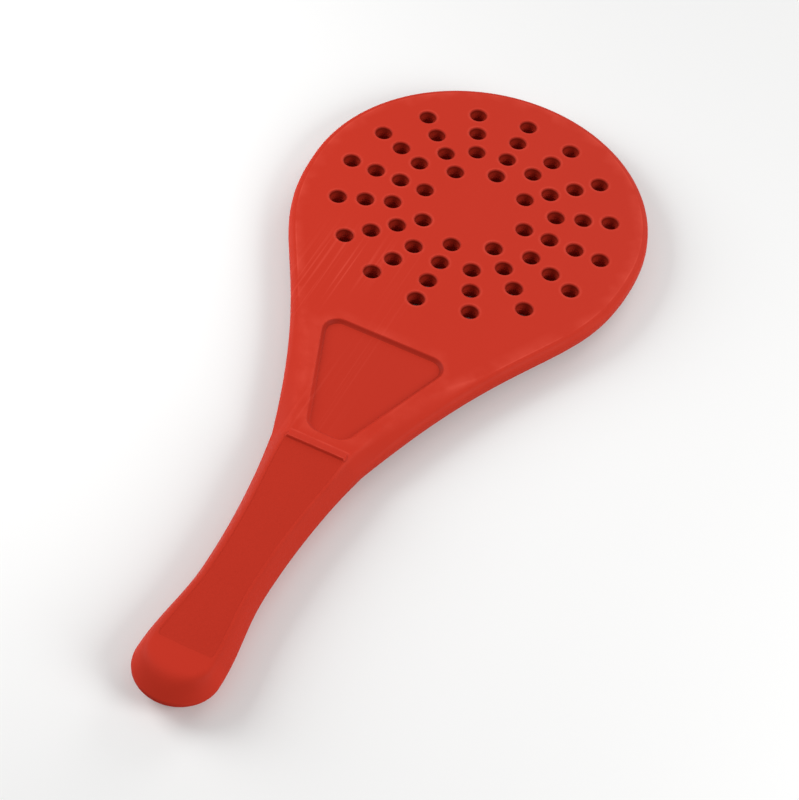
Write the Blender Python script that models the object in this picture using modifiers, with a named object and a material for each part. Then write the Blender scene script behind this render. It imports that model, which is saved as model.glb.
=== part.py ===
"""Beach game paddle: two hollow half shells that close on each other at the parting line, and two inlaid pads.

The model is drawn about the centre of the head, on the parting plane: +Y runs to the tip of the head, -Y along
the handle, +Z out of the front face. A parent empty then lifts it onto its frame, whose origin is the middle of
the bottom of its box. All sizes are in metres. A distance is measured from the head's centre towards the butt.
"""

import math
from collections import namedtuple

import bmesh
import bpy
import numpy as np
from mathutils import Matrix, Vector

# Outline on the parting plane
HEAD_RADIUS = 0.0837
SHOULDER_PULL = 0.062
THROAT_PULL = 0.111
NECK_DISTANCE = 0.1646
NECK_WIDTH = 0.044
THROAT_TURN = math.radians(16.7)
HANDLE_TURN = math.radians(10.6)
NECK_TO_WAIST = 0.0737
WAIST_WIDTH = 0.0293
WAIST_TO_BUTT = 0.0477
BUTT_WIDTH = 0.0377
BUTT_LENGTH = 0.0175

# Fullness of the outline's curves, as shares of the lengths they span
GRIP_FULLNESS = 1 / 3
FLARE_FULLNESS = 0.4
BUTT_SIDE_FULLNESS = 0.53
BUTT_END_FULLNESS = 0.56

# Thickness, which grows along the throat and again up the thumb rib
BLADE_THICKNESS = 0.009
THROAT_THICKNESS = 0.0142
HANDLE_THICKNESS = 0.017
RAMP_START = 0.0925

# Rim along the parting line: as high as the blade down to the neck, then a low bead along the handle
RIM_DRAFT = 0.0002
BLADE_RIM_RADIUS = 0.003
GRIP_RIM_HEIGHT = 0.0014
GRIP_RIM_RADIUS = 0.0011
RIM_FALL_BEFORE_NECK = 0.0146
RIM_FALL_AFTER_NECK = 0.018

# How far inside the parting line each flat face starts, above the flank that rises from the rim
BLADE_FACE_INSET = 0.0045
THROAT_FACE_INSET = 0.009
NECK_FACE_INSET = 0.0068
GRIP_FACE_INSET = 0.0047
WAIST_FACE_INSET = 0.0043
BUTT_FACE_INSET = 0.0052
END_FACE_INSET = 0.0098

# How far the middle of the flank bulges over a straight one, as a share of the flank's height
GRIP_FLANK_BULGE = 0.08
END_FLANK_BULGE = 0.25

# Perforation: rays of holes, of which every second one stops before the innermost ring
RAY_COUNT = 16
RING_COUNT = 4
FIRST_RING_RADIUS = 0.026
RING_PITCH = 0.013
HOLE_DIAMETER = 0.008
COLLAR_WALL = 0.0014

# Trapezoid recess in the throat
RECESS_DISTANCE = 0.0935
RECESS_LENGTH = 0.0635
RECESS_HEAD_WIDTH = 0.0634
RECESS_NECK_WIDTH = 0.0182
RECESS_HEAD_RADIUS = 0.0065
RECESS_NECK_RADIUS = 0.0078
RECESS_DEPTH = 0.0013
RECESS_DRAFT = 0.001

# Thumb rib across the neck: a wedge that rises towards the handle and drops to the pad
RIB_LENGTH = 0.0284
RIB_RISE = 0.0012
RIB_RAMP = 0.0052
NECK_TO_RIB_CREST = 0.0026
RIB_LAND = 0.0006

# Grip pads
PAD_THICKNESS = 0.0014
PAD_SINK = 0.0002
PAD_LENGTH = 0.1125
PAD_LAND = 0.0006
PAD_CORNER_RADIUS = 0.0015
PAD_BEVEL = 0.0003

# Shells
WALL = 0.0022
PARTING_GAP = 0.0003
LIP_LAND = 0.0012
LIP_HEIGHT = 0.0015
WEB_THICKNESS = 0.0014
WEB_COUNT = 4

# Clearance between touching pieces, and how far a cutter runs past what it cuts
FIT_GAP = 0.0003
CUT_MARGIN = 0.002

# Facets, and how often the flank's slope is refined
HEAD_STEPS = 12
THROAT_STEPS = 9
GRIP_STEPS = 5
RIB_STEP = 0.07
BUTT_STEPS = 5
RIM_STEPS = 2
CORNER_STEPS = 4
HOLE_SIDES = 12
COLLAR_SIDES = 8
TILT_ROUNDS = 12
FLAKE_VOLUME = 1e-12

# Places that follow from the sizes above
WAIST_DISTANCE = NECK_DISTANCE + NECK_TO_WAIST
BUTT_DISTANCE = WAIST_DISTANCE + WAIST_TO_BUTT
END_DISTANCE = BUTT_DISTANCE + BUTT_LENGTH
RIB_CREST = NECK_DISTANCE + NECK_TO_RIB_CREST
RIB_FOOT = RIB_CREST - RIB_RAMP
PAD_START = RIB_CREST + RIB_LAND + FIT_GAP
PAD_END = PAD_START + PAD_LENGTH
POCKET_DEPTH = PAD_SINK + PAD_THICKNESS + FIT_GAP
RIM_FALL_START = NECK_DISTANCE - RIM_FALL_BEFORE_NECK
RIM_FALL_END = NECK_DISTANCE + RIM_FALL_AFTER_NECK
THROAT_MIDDLE = (RAMP_START + NECK_DISTANCE) / 2

RED = (0.56, 0.038, 0.022, 1.0)
GRIP_RED = (0.50, 0.030, 0.018, 1.0)

Station = namedtuple("Station", "point inward height rim radius inset bulge")


def clear_scene():
    for obj in list(bpy.data.objects):
        bpy.data.objects.remove(obj, do_unlink=True)


def new_collection(name):
    collection = bpy.data.collections.new(name)
    bpy.context.scene.collection.children.link(collection)
    return collection


def plastic(name, colour, roughness):
    material = bpy.data.materials.new(name)
    material.use_nodes = True
    shader = material.node_tree.nodes["Principled BSDF"]
    shader.inputs["Base Color"].default_value = colour
    shader.inputs["Roughness"].default_value = roughness
    shader.inputs["Metallic"].default_value = 0.0
    return material


def object_from(bm, name, collection):
    bmesh.ops.recalc_face_normals(bm, faces=bm.faces)
    mesh = bpy.data.meshes.new(name)
    bm.to_mesh(mesh)
    bm.free()
    obj = bpy.data.objects.new(name, mesh)
    collection.objects.link(obj)
    return obj


def cutter_from(bm, name, collection):
    obj = object_from(bm, name, collection)
    obj.hide_render = True
    obj.display_type = "WIRE"
    return obj


def boolean(obj, operation, other):
    """The lofted skins have twisted faces, which only the manifold solver keeps closed."""
    modifier = obj.modifiers.new(f"{operation.lower()} {other.name}", "BOOLEAN")
    modifier.operation = operation
    modifier.solver = "MANIFOLD"
    modifier.object = other


def evaluated_mesh(obj):
    graph = bpy.context.evaluated_depsgraph_get()
    return bpy.data.meshes.new_from_object(obj.evaluated_get(graph), depsgraph=graph)


def linked_faces(start):
    """Faces of the closed skin that a face belongs to."""
    found = {start}
    waiting = [start]
    while waiting:
        for edge in waiting.pop().edges:
            new = [face for face in edge.link_faces if face not in found]
            found.update(new)
            waiting.extend(new)
    return found


def without_flakes(mesh):
    """Takes out loose skins that hold no plastic, which the solver can leave where two cuts meet in one plane."""
    bm = bmesh.new()
    bm.from_mesh(mesh)
    left = set(bm.faces)
    flakes = []
    while left:
        skin = linked_faces(next(iter(left)))
        left -= skin
        volume = 0
        for face in skin:
            corners = [v.co for v in face.verts]
            for second, third in zip(corners[1:], corners[2:]):
                volume += corners[0].dot(second.cross(third)) / 6
        if abs(volume) < FLAKE_VOLUME:
            flakes.extend({v for face in skin for v in face.verts})
    if flakes:
        bmesh.ops.delete(bm, geom=flakes, context="VERTS")
        bm.to_mesh(mesh)
    bm.free()
    return mesh


def bezier(start, leave, arrive, end, shares):
    """Points at shares of a cubic curve that leaves and arrives along the two given vectors."""
    near = start + leave
    far = end - arrive
    points = []
    for t in shares:
        s = 1 - t
        points.append(s**3 * start + 3 * s * s * t * near + 3 * s * t * t * far + t**3 * end)
    return points


def even_shares(steps):
    return [i / steps for i in range(1, steps + 1)]


def inward_heading(angle):
    """Unit vector towards the butt that turns in to the axis by an angle."""
    return Vector((-math.sin(angle), -math.cos(angle)))


def half_outline():
    """Right half of the parting line, from the tip of the head to the end of the butt."""
    along = Vector((0, -1))
    points = []
    for i in range(HEAD_STEPS + 1):
        angle = math.pi / 2 * (1 - i / HEAD_STEPS)
        points.append(HEAD_RADIUS * Vector((math.cos(angle), math.sin(angle))))
    neck = Vector((NECK_WIDTH / 2, -NECK_DISTANCE))
    waist = Vector((WAIST_WIDTH / 2, -WAIST_DISTANCE))
    butt = Vector((BUTT_WIDTH / 2, -BUTT_DISTANCE))
    end = Vector((0, -END_DISTANCE))
    points += bezier(
        points[-1],
        along * SHOULDER_PULL,
        inward_heading(THROAT_TURN) * THROAT_PULL,
        neck,
        even_shares(THROAT_STEPS),
    )
    pull = NECK_TO_WAIST * GRIP_FULLNESS
    past_rib = [RIB_STEP] + even_shares(GRIP_STEPS)
    points += bezier(neck, inward_heading(HANDLE_TURN) * pull, along * pull, waist, past_rib)
    flare = along * WAIST_TO_BUTT * FLARE_FULLNESS
    points += bezier(waist, flare, flare, butt, even_shares(GRIP_STEPS))
    round_down = along * BUTT_LENGTH * BUTT_SIDE_FULLNESS
    round_in = Vector((-BUTT_WIDTH / 2 * BUTT_END_FULLNESS, 0))
    points += bezier(butt, round_down, round_in, end, even_shares(BUTT_STEPS))
    points[0].x = 0
    return points


def half_height(y):
    """Height of the flat face above the parting plane."""
    distances = (RAMP_START, RIB_FOOT, RIB_CREST)
    return float(np.interp(-y, distances, (BLADE_THICKNESS, THROAT_THICKNESS, HANDLE_THICKNESS))) / 2


def stations():
    """The half outline with its inward direction, its heights of face and rim, and its flank."""
    points = half_outline()
    rim_ends = (RIM_FALL_START, RIM_FALL_END)
    bulges = {
        RIM_FALL_START: 0,
        RIM_FALL_END: GRIP_FLANK_BULGE,
        PAD_END: GRIP_FLANK_BULGE,
        BUTT_DISTANCE: END_FLANK_BULGE,
    }
    insets = {
        RAMP_START: BLADE_FACE_INSET,
        THROAT_MIDDLE: THROAT_FACE_INSET,
        NECK_DISTANCE: NECK_FACE_INSET,
        RIM_FALL_END: GRIP_FACE_INSET,
        WAIST_DISTANCE: WAIST_FACE_INSET,
        PAD_END: BUTT_FACE_INSET,
        BUTT_DISTANCE: END_FACE_INSET,
    }
    mirror = Vector((-1, 1))
    around = [points[1] * mirror] + points + [points[-2] * mirror]
    found = []
    for before, point, after in zip(around, points, around[2:]):
        tangent = (after - before).normalized()
        inward = Vector((tangent.y, -tangent.x))
        rim = float(np.interp(-point.y, rim_ends, (BLADE_THICKNESS / 2, GRIP_RIM_HEIGHT)))
        radius = float(np.interp(-point.y, rim_ends, (BLADE_RIM_RADIUS, GRIP_RIM_RADIUS)))
        inset = float(np.interp(-point.y, list(insets), list(insets.values())))
        bulge = float(np.interp(-point.y, list(bulges), list(bulges.values())))
        found.append(Station(point, inward, half_height(point.y), rim, radius, inset, bulge))
    return found


def flank_tilt(station):
    """Slope at which the flank leaves the rim's round, which it meets without a crease."""
    shoulder = station.radius
    for _ in range(TILT_ROUNDS):
        middle_rise = (station.height - station.rim) * (1 / 2 + station.bulge)
        tilt = math.atan2(middle_rise, (station.inset - shoulder) / 2)
        shoulder = RIM_DRAFT + station.radius * (1 - math.sin(tilt))
    return tilt


def side_top(station):
    """Height at which the upright side of the rim turns into its round."""
    return station.rim - station.radius * math.cos(flank_tilt(station))


def outer_profile(station):
    """(inset, height, share of the face's rise) from the parting plane up the rim and flank to the face."""
    tilt = flank_tilt(station)
    low = side_top(station)
    profile = [(0, PARTING_GAP / 2, 0)]
    for i in range(RIM_STEPS + 1):
        angle = math.pi / 2 + (tilt - math.pi / 2) * i / RIM_STEPS
        inset = RIM_DRAFT + station.radius * (1 - math.sin(angle))
        profile.append((inset, low + station.radius * math.cos(angle), 0))
    share = 1 / 2 + station.bulge
    profile.append(((inset + station.inset) / 2, station.rim + share * (station.height - station.rim), share))
    profile.append((station.inset, station.height, 1))
    return profile


def cavity_profile(station):
    """The same for the inside, a wall in from the outer surface."""
    side = RIM_DRAFT + WALL
    face = (station.inset + WALL, station.height - WALL, 1)
    return [(side, -CUT_MARGIN, 0), (side, side_top(station), 0), face]


def side_inset(station, depth):
    """How far the outer surface has come in at a depth below the parting plane."""
    profile = outer_profile(station)
    return float(np.interp(depth, [p[1] for p in profile], [p[0] for p in profile]))


def inset_point(station, inset, height, share):
    """Point inset from the outline, which takes a share of the face's rise on the way."""
    x, y = station.point + station.inward * inset
    return Vector((x, y, height + share * (half_height(y) - station.height)))


def closed_ring(half):
    """A whole ring from its right half, whose first and last points are on the axis."""
    left = [Vector((-p.x, p.y, p.z)) for p in half[-2:0:-1]]
    for p in (half[0], half[-1]):
        p.x = 0
    return half + left


def add_rings(bm, rings, cyclic=False):
    """Skins between successive rings of as many points each, and returns the rings' vertices."""
    made = [[bm.verts.new(p) for p in ring] for ring in rings]
    pairs = list(zip(made, made[1:]))
    if cyclic:
        pairs.append((made[-1], made[0]))
    for low, high in pairs:
        for i in range(len(low)):
            j = (i + 1) % len(low)
            bm.faces.new((low[i], low[j], high[j], high[i]))
    return made


def add_face_strips(bm, ring):
    """Closes a ring with strips across it, so that each strip is flat where the face ramps along Y."""
    count = len(ring)
    last = count // 2
    for i in range(last):
        corners = (ring[i], ring[i + 1], ring[(count - i - 1) % count], ring[(count - i) % count])
        bm.faces.new(list(dict.fromkeys(corners)))
    corners = set(ring)
    edges = [e for e in bm.edges if corners.issuperset(e.verts)]
    bmesh.ops.dissolve_limit(bm, angle_limit=math.radians(0.05), verts=ring, edges=edges)


def half_body(profile):
    """Closed half of the paddle from its lowest ring up to its face."""
    line = stations()
    profiles = [profile(s) for s in line]
    rings = []
    for k in range(len(profiles[0])):
        rings.append(closed_ring([inset_point(s, *p[k]) for s, p in zip(line, profiles)]))
    bm = bmesh.new()
    made = add_rings(bm, rings)
    bm.faces.new(made[0])
    add_face_strips(bm, made[-1])
    return bm


def rim_ring(land, thickness, top, bottom):
    """A closed band along the parting line, upright above it and leaning in with the outer side below it."""
    corners = [(land, height) for height in (top, 0, bottom)]
    corners += [(land + thickness, height) for height in (bottom, 0, top)]
    rings = []
    for inset, height in corners:
        half = []
        for s in stations():
            x, y = s.point + s.inward * (inset + side_inset(s, max(-height, 0)))
            half.append(Vector((x, y, height)))
        rings.append(closed_ring(half))
    bm = bmesh.new()
    add_rings(bm, rings, cyclic=True)
    return bm


def hole_centres():
    centres = []
    for ray in range(RAY_COUNT):
        angle = math.pi / 2 + ray * 2 * math.pi / RAY_COUNT
        for ring in range(ray % 2, RING_COUNT):
            radius = FIRST_RING_RADIUS + ring * RING_PITCH
            centres.append((radius * math.cos(angle), radius * math.sin(angle)))
    return centres


def hole_cylinders(diameter, bottom, top, sides):
    bm = bmesh.new()
    for x, y in hole_centres():
        place = Matrix.Translation((x, y, (bottom + top) / 2))
        bmesh.ops.create_cone(
            bm,
            cap_ends=True,
            segments=sides,
            radius1=diameter / 2,
            radius2=diameter / 2,
            depth=top - bottom,
            matrix=place,
        )
    return bm


def rounded(corners):
    """An outline through (point, radius) corners, with an arc at each corner that has a radius."""
    outline = []
    for i, (corner, radius) in enumerate(corners):
        if not radius:
            outline.append(corner)
            continue
        back = (corners[i - 1][0] - corner).normalized()
        ahead = (corners[(i + 1) % len(corners)][0] - corner).normalized()
        half = back.angle(ahead) / 2
        centre = corner + (back + ahead).normalized() * radius / math.sin(half)
        start = corner + back * radius / math.tan(half) - centre
        stop = corner + ahead * radius / math.tan(half) - centre
        turn = -start.angle_signed(stop)
        for step in range(CORNER_STEPS + 1):
            outline.append(centre + Matrix.Rotation(turn * step / CORNER_STEPS, 2) @ start)
    return outline


def recess_outline(grow):
    """The recess's trapezoid, with every side moved out by a distance."""
    slope = (RECESS_HEAD_WIDTH - RECESS_NECK_WIDTH) / 2 / RECESS_LENGTH
    sideways = grow * math.hypot(1, slope)
    head_half = RECESS_HEAD_WIDTH / 2 + slope * grow + sideways
    neck_half = RECESS_NECK_WIDTH / 2 - slope * grow + sideways
    head_y = grow - RECESS_DISTANCE
    neck_y = -grow - RECESS_DISTANCE - RECESS_LENGTH
    corners = [(head_half, head_y), (-head_half, head_y), (-neck_half, neck_y), (neck_half, neck_y)]
    radii = (RECESS_HEAD_RADIUS, RECESS_HEAD_RADIUS, RECESS_NECK_RADIUS, RECESS_NECK_RADIUS)
    return rounded([(Vector(c), radius + grow) for c, radius in zip(corners, radii)])


def face_half_width(distance):
    """Half width of the flat face of the handle."""
    line = [s for s in stations() if s.point.x > 0]
    edge = [s.point + s.inward * s.inset for s in line]
    return float(np.interp(distance, [-p.y for p in edge], [p.x for p in edge]))


def pad_half_width(distance):
    """The pad leaves a land beside the crease where the flank of the handle starts."""
    return face_half_width(distance) - PAD_LAND


def pad_outline(grow):
    right = []
    for i in range(2 * GRIP_STEPS + 1):
        distance = PAD_START + PAD_LENGTH * i / (2 * GRIP_STEPS)
        right.append(Vector((pad_half_width(distance) + grow, -distance)))
    right[0].y += grow
    right[-1].y -= grow
    left = [Vector((-p.x, p.y)) for p in reversed(right)]
    ends = (right[0], right[-1], left[0], left[-1])
    return rounded([(p, PAD_CORNER_RADIUS if p in ends else 0) for p in right + left])


def prism(outline_low, low, outline_high, high):
    """A closed solid between two outlines. Each height is a function of y."""
    bm = bmesh.new()
    rings = []
    for outline, height in ((outline_low, low), (outline_high, high)):
        rings.append([Vector((p.x, p.y, height(p.y))) for p in outline])
    made = add_rings(bm, rings)
    for ring in made:
        bm.faces.new(ring)
    return bm


def below_face(depth):
    return lambda y: half_height(y) - depth


def thumb_rib():
    """Wedge that climbs from the throat past the face of the handle, with its foot sunk into the wall."""
    low = THROAT_THICKNESS / 2
    sunk = low - WALL / 2
    crest = HANDLE_THICKNESS / 2 + RIB_RISE
    profile = ((RIB_FOOT, sunk), (RIB_FOOT, low), (RIB_CREST, crest), (RIB_CREST, sunk))
    rings = []
    for x in (-RIB_LENGTH / 2, RIB_LENGTH / 2):
        rings.append([Vector((x, -distance, z)) for distance, z in profile])
    bm = bmesh.new()
    for ring in add_rings(bm, rings):
        bm.faces.new(ring)
    return bm


def add_box(bm, low, high):
    size = [b - a for a, b in zip(low, high)]
    middle = [(a + b) / 2 for a, b in zip(low, high)]
    place = Matrix.Translation(middle) @ Matrix.Diagonal((*size, 1))
    bmesh.ops.create_cube(bm, size=1, matrix=place)


def long_web():
    """A web along the axis of the handle."""
    half = WEB_THICKNESS / 2
    bm = bmesh.new()
    add_box(bm, (-half, -END_DISTANCE, -2 * CUT_MARGIN), (half, -PAD_START, HANDLE_THICKNESS))
    return bm


def cross_webs():
    """Webs across the handle, from the head end of the pad to its butt end."""
    half = WEB_THICKNESS / 2
    bm = bmesh.new()
    for i in range(WEB_COUNT):
        y = -PAD_START - PAD_LENGTH * i / (WEB_COUNT - 1)
        add_box(bm, (-NECK_WIDTH, y - half, -2 * CUT_MARGIN), (NECK_WIDTH, y + half, HANDLE_THICKNESS))
    return bm


def pad_tray():
    """What stays behind the pad's pocket, right across the handle."""
    floor = HANDLE_THICKNESS / 2 - POCKET_DEPTH - WALL
    bm = bmesh.new()
    add_box(bm, (-NECK_WIDTH, -PAD_END - WALL, floor), (NECK_WIDTH, WALL - PAD_START, HANDLE_THICKNESS))
    return bm


def cavity_cutter(cutters):
    """What is hollow in a half shell: all of its inside, less the collars, trays and webs that stay."""
    cavity = cutter_from(half_body(cavity_profile), "cavity", cutters)
    recess_tray = recess_outline(WALL)
    stays = {
        "collars": hole_cylinders(
            HOLE_DIAMETER + 2 * COLLAR_WALL, -2 * CUT_MARGIN, BLADE_THICKNESS, COLLAR_SIDES
        ),
        "recess_tray": prism(
            recess_tray, below_face(RECESS_DEPTH + WALL), recess_tray, below_face(-CUT_MARGIN)
        ),
        "pad_tray": pad_tray(),
        "long_web": long_web(),
        "cross_webs": cross_webs(),
    }
    for name, bm in stays.items():
        boolean(cavity, "DIFFERENCE", cutter_from(bm, name, cutters))
    return cavity


def half_shell(cutters):
    """The half that both shells share, above the parting plane."""
    shell = cutter_from(half_body(outer_profile), "half_shell", cutters)
    pocket = pad_outline(FIT_GAP)
    mouth = RECESS_DRAFT * (RECESS_DEPTH + CUT_MARGIN) / RECESS_DEPTH
    boolean(shell, "DIFFERENCE", cavity_cutter(cutters))
    boolean(shell, "UNION", cutter_from(thumb_rib(), "thumb_rib", cutters))
    cuts = {
        "recess": prism(
            recess_outline(-RECESS_DRAFT),
            below_face(RECESS_DEPTH),
            recess_outline(mouth - RECESS_DRAFT),
            below_face(-CUT_MARGIN),
        ),
        "pocket": prism(pocket, below_face(POCKET_DEPTH), pocket, below_face(-CUT_MARGIN)),
        "bores": hole_cylinders(HOLE_DIAMETER, -CUT_MARGIN, BLADE_THICKNESS, HOLE_SIDES),
    }
    for name, bm in cuts.items():
        boolean(shell, "DIFFERENCE", cutter_from(bm, name, cutters))
    return shell


def piece(name, mesh, material, parts, root):
    mesh.name = name
    mesh.shade_smooth()
    mesh.set_sharp_from_angle(angle=math.radians(30))
    mesh.materials.clear()
    mesh.materials.append(material)
    obj = bpy.data.objects.new(name, mesh)
    obj.parent = root
    parts.objects.link(obj)
    return obj


def turned_back(mesh):
    """A copy of a front mesh, mirrored in the parting plane."""
    copy = mesh.copy()
    copy.transform(Matrix.Scale(-1, 4, Vector((0, 0, 1))))
    copy.flip_normals()
    return copy


def grip_pad(cutters):
    outline = pad_outline(0)
    return cutter_from(
        prism(outline, below_face(PAD_SINK + PAD_THICKNESS), outline, below_face(PAD_SINK)), "pad", cutters
    )


def main():
    clear_scene()
    parts = new_collection("beach_game_paddle")
    cutters = new_collection("cutters")
    root = bpy.data.objects.new("paddle_frame", None)
    root.location = (0, (END_DISTANCE - HEAD_RADIUS) / 2, HANDLE_THICKNESS / 2 + RIB_RISE)
    parts.objects.link(root)
    shell_red = plastic("shell red", RED, 0.42)
    grip_red = plastic("grip red", GRIP_RED, 0.6)

    front_half = without_flakes(evaluated_mesh(half_shell(cutters)))
    back_half = turned_back(front_half)
    lip = rim_ring(LIP_LAND, WALL - LIP_LAND, WALL / 4, -LIP_HEIGHT)
    rabbet = rim_ring(LIP_LAND - FIT_GAP, 2 * WALL, CUT_MARGIN, -LIP_HEIGHT - FIT_GAP)
    front = piece("front_shell", front_half, shell_red, parts, root)
    back = piece("back_shell", back_half, shell_red, parts, root)
    for shell, operation, name, bm in ((front, "UNION", "lip", lip), (back, "DIFFERENCE", "rabbet", rabbet)):
        cutter = cutter_from(bm, name, cutters)
        cutter.parent = root
        boolean(shell, operation, cutter)

    front_pad = evaluated_mesh(grip_pad(cutters))
    back_pad = turned_back(front_pad)
    for name, mesh in (("front_grip_pad", front_pad), ("back_grip_pad", back_pad)):
        pad = piece(name, mesh, grip_red, parts, root)
        bevel = pad.modifiers.new("edge", "BEVEL")
        bevel.width = PAD_BEVEL
        bevel.segments = 1
        bevel.limit_method = "ANGLE"
        bevel.angle_limit = math.radians(60)


main()
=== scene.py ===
"""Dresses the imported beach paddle: two moulded half shells, two grained grip pads and their studio.

All sizes are in metres. The paddle is drawn about the centre of its head, on the parting plane, with +Y
towards the tip of the head and +Z out of the front face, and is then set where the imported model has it. A
distance is measured from the centre of the head towards the butt. A grow is how far an outline is moved
outwards.
"""

import logging
import math
from collections.abc import Sequence
from dataclasses import dataclass, field
from enum import Enum
from typing import ClassVar

import bmesh
import bpy
import numpy as np
from mathutils import Euler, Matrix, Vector, noise
from mathutils.geometry import delaunay_2d_cdt


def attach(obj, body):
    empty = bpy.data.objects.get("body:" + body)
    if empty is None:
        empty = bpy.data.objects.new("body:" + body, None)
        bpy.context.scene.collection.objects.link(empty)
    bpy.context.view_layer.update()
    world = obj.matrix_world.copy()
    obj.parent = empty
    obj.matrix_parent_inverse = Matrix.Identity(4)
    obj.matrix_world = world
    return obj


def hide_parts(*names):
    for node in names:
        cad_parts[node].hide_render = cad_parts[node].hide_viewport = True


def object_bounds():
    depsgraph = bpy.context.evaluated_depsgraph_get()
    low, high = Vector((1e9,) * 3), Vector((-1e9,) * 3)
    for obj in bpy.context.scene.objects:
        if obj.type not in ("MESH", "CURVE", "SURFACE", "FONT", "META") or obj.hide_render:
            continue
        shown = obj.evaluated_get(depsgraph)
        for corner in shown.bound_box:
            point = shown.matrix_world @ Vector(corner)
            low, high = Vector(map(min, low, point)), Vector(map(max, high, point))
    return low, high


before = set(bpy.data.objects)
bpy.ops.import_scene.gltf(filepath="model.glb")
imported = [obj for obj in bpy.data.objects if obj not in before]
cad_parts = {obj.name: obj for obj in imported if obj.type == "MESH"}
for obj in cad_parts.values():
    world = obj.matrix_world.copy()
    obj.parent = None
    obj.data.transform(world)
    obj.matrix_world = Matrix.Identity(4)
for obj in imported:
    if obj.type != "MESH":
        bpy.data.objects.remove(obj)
CAD_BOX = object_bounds()
BODY = "root"
LOG = logging.getLogger("beach_paddle")
Colour = tuple[float, float, float, float]
Values = np.ndarray | float
Tree = bpy.types.NodeTree
Socket = bpy.types.NodeSocket
Feed = Socket | float | Colour


class Side(Enum):
    """Face of the paddle that a piece belongs to, as the sign of its height."""

    FRONT = 1
    BACK = -1

    @property
    def word(self) -> str:
        """The side as it stands in the names of nodes."""
        return self.name.lower()


# Painted shade in the holes of the front, which lies up and is seen; the back's holes get none.
HOLE_SHADE_PAINT = {Side.FRONT: 1.0, Side.BACK: 0.0}
SCUFF_DISTANCE = 0.105


def ease(share: Values) -> Values:
    """Height of a smooth step at shares of the way along it, which are clipped to 0 and 1."""
    t = np.clip(share, 0, 1)
    return t * t * (3 - 2 * t)


def soft_ramp(reach: np.ndarray, blend: Values) -> np.ndarray:
    """Heights of a ramp of slope 1 past a bend, which is rounded over the blend to both sides."""
    rounded_part = (reach + blend) ** 2 / (4 * blend)
    return np.where(reach < -blend, 0, np.where(reach > blend, reach, rounded_part))


def bezier(
    start: np.ndarray, leave: np.ndarray, arrive: np.ndarray, end: np.ndarray, steps: int
) -> np.ndarray:
    """Cubic curve without its first point.

    Args:
        start: First point.
        leave: Vector along which the curve leaves it.
        arrive: Vector along which the curve comes to its end.
        end: Last point.
        steps: Number of points.

    Returns:
        Points, one a row.
    """
    t = np.linspace(0, 1, steps + 1)[1:, None]
    s = 1 - t
    near = start + leave
    far = end - arrive
    return s**3 * start + 3 * s * s * t * near + 3 * s * t * t * far + t**3 * end


def heading(angle: float) -> np.ndarray:
    """Unit vector towards the butt that turns in to the axis by an angle in radians."""
    return np.array((-math.sin(angle), -math.cos(angle)))


def inside(points: np.ndarray, polygon: np.ndarray) -> np.ndarray:
    """Tests points against a closed polygon.

    Args:
        points: Points in the plane, one a row.
        polygon: Corners in order.

    Returns:
        True for each point inside.
    """
    after = np.roll(polygon, -1, axis=0)
    found = np.zeros(len(points), bool)
    for (x0, y0), (x1, y1) in zip(polygon, after):
        spans = (y0 > points[:, 1]) != (y1 > points[:, 1])
        if spans.any():
            crossing = x0 + (points[:, 1] - y0) * (x1 - x0) / (y1 - y0 if y1 != y0 else 1)
            found ^= spans & (points[:, 0] < crossing)
    return found


def rounded(corners: np.ndarray, radii: np.ndarray, steps: int) -> np.ndarray:
    """Rounds the corners of a polygon.

    Args:
        corners: Corners in order.
        radii: Radius at each corner, 0 to leave it as it is.
        steps: Segments of each arc.

    Returns:
        Outline with an arc at each corner that has a radius.
    """
    outline = []
    before = np.roll(corners, 1, axis=0)
    after = np.roll(corners, -1, axis=0)
    for corner, last, following, radius in zip(corners, before, after, radii):
        if not radius:
            outline.append(corner)
            continue
        back = (last - corner) / np.linalg.norm(last - corner)
        ahead = (following - corner) / np.linalg.norm(following - corner)
        half = math.acos(float(np.clip(back @ ahead, -1, 1))) / 2
        middle = (back + ahead) / np.linalg.norm(back + ahead)
        centre = corner + middle * radius / math.sin(half)
        start = corner + back * radius / math.tan(half) - centre
        stop = corner + ahead * radius / math.tan(half) - centre
        turn = math.atan2(start[0] * stop[1] - start[1] * stop[0], start @ stop)
        first = math.atan2(start[1], start[0])
        for step in range(steps + 1):
            angle = first + turn * step / steps
            outline.append(centre + radius * np.array((math.cos(angle), math.sin(angle))))
    return np.array(outline)


def evenly(outline: np.ndarray, spacing: float) -> np.ndarray:
    """Splits the long sides of a closed outline.

    Args:
        outline: Corners in order.
        spacing: Longest side that stays.

    Returns:
        Outline whose sides are no longer than the spacing.
    """
    points = []
    for start, end in zip(outline, np.roll(outline, -1, axis=0)):
        count = max(1, math.ceil(np.linalg.norm(end - start) / spacing))
        points.extend(start + (end - start) * i / count for i in range(count))
    return np.array(points)


def triangle_net(low: Sequence[float], high: Sequence[float], spacing: float) -> np.ndarray:
    """Net of equal triangles over a box.

    Args:
        low: Lower corner of the box.
        high: Upper corner of the box.
        spacing: Side of a triangle.

    Returns:
        Points, one a row.
    """
    xs = np.arange(low[0], high[0], spacing)
    ys = np.arange(low[1], high[1], spacing * math.sqrt(3) / 2)
    rows = []
    for i, y in enumerate(ys):
        shifted = xs + spacing / 2 * (i % 2)
        rows.append(np.column_stack((shifted, np.full(len(xs), y))))
    return np.vstack(rows)


def placed(name: str, data: bpy.types.ID) -> bpy.types.Object:
    """Makes an object and links it to the scene.

    Args:
        name: Its name.
        data: Its mesh, lamp or camera.

    Returns:
        The object.
    """
    obj = bpy.data.objects.new(name, data)
    bpy.context.scene.collection.objects.link(obj)
    return obj


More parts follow.
